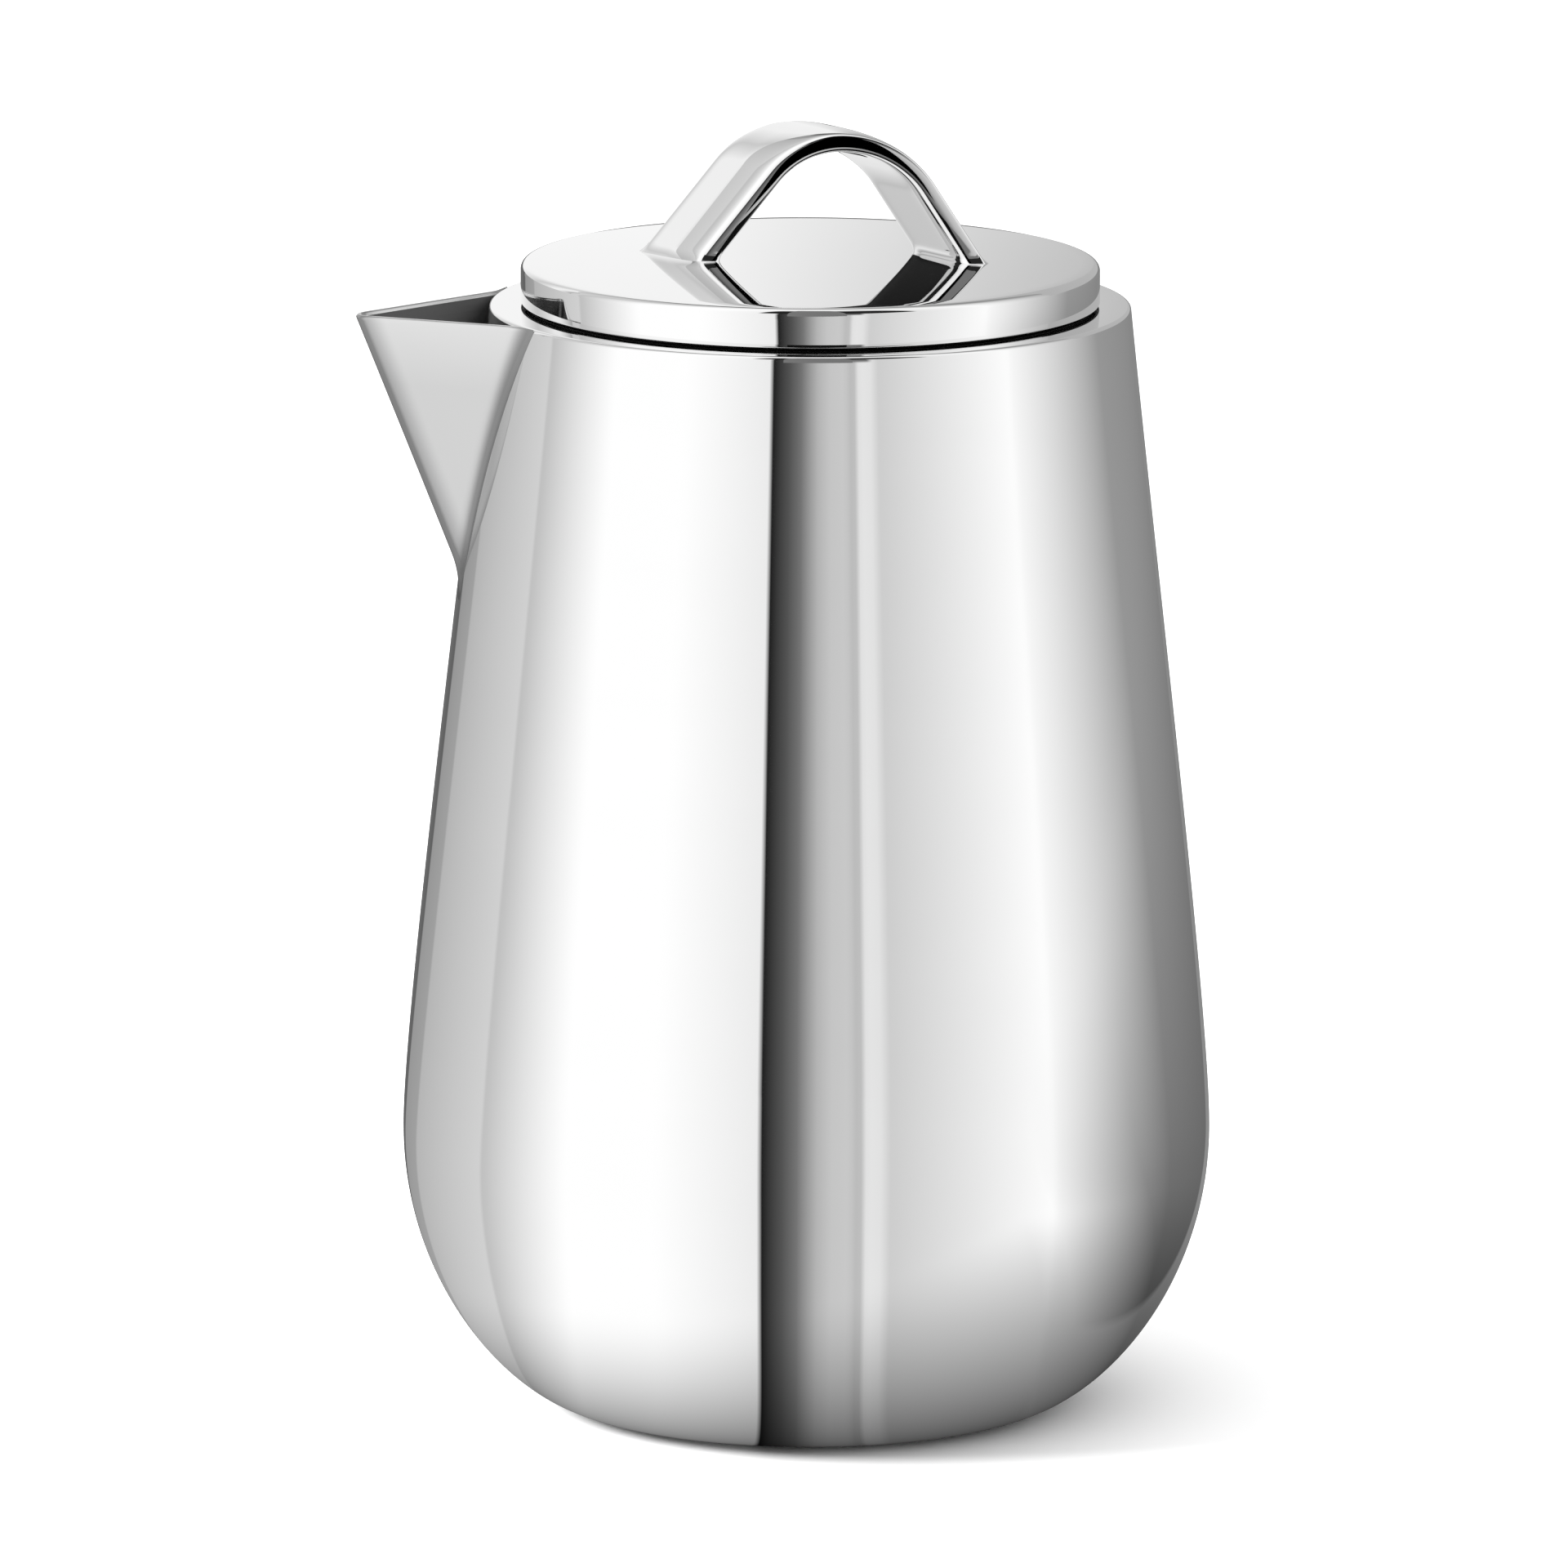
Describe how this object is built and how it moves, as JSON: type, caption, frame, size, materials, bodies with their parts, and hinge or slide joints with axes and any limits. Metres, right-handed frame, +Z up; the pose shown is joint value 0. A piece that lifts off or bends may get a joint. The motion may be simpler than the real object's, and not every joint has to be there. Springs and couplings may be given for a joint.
{
  "type": "coffee pot",
  "caption": "Round insulated coffee pot of polished steel with a pointed V-shaped spout at the rim and a flat lift-off lid with an arched loop handle.",
  "frame": {"origin": "middle of the foot pad's underside, on the table", "axes": "+Z up along the pot's axis, -X towards the tip of the spout"},
  "size_m": [0.1327, 0.125, 0.2001],
  "materials": {
    "polished_steel": "mirror-polished stainless steel",
    "satin_steel": "satin stainless steel",
    "fastener_steel": "plain turned steel",
    "foil": "bright foil",
    "getter_metal": "dark sintered metal",
    "seal_metal": "dull solder",
    "soft_grey": "matt silicone",
    "soft_black": "matt black silicone",
    "foam": "rigid foam"
  },
  "bodies": {
    "pot": {"outer_shell": "polished_steel", "spout": "polished_steel", "rim_ring": "polished_steel", "liner_body": "satin_steel", "liner_base": "satin_steel", "pour_duct": "satin_steel", "heat_foil": "foil", "getter": "getter_metal", "base_plate": "satin_steel", "vacuum_seal": "seal_metal", "base_cover": "satin_steel", "foot_pad": "soft_grey"},
    "gasket": {"lid_seal": "soft_black"},
    "lid": {"lid_cap": "polished_steel", "lid_handle": "polished_steel", "handle_studs": "fastener_steel", "handle_washers": "fastener_steel", "handle_nuts": "fastener_steel", "lid_pan": "satin_steel", "lid_insulation": "foam"}
  },
  "joints": [
    {"name": "lid_lift", "type": "slide", "parent": "pot", "child": "gasket", "axis": [0, 0, 1], "range_m": [0, 0.09]},
    {"name": "lid_turn", "type": "hinge", "parent": "gasket", "child": "lid", "pos_m": [0, 0, 0.172], "axis": [0, 0, 1], "continuous": true}
  ]
}
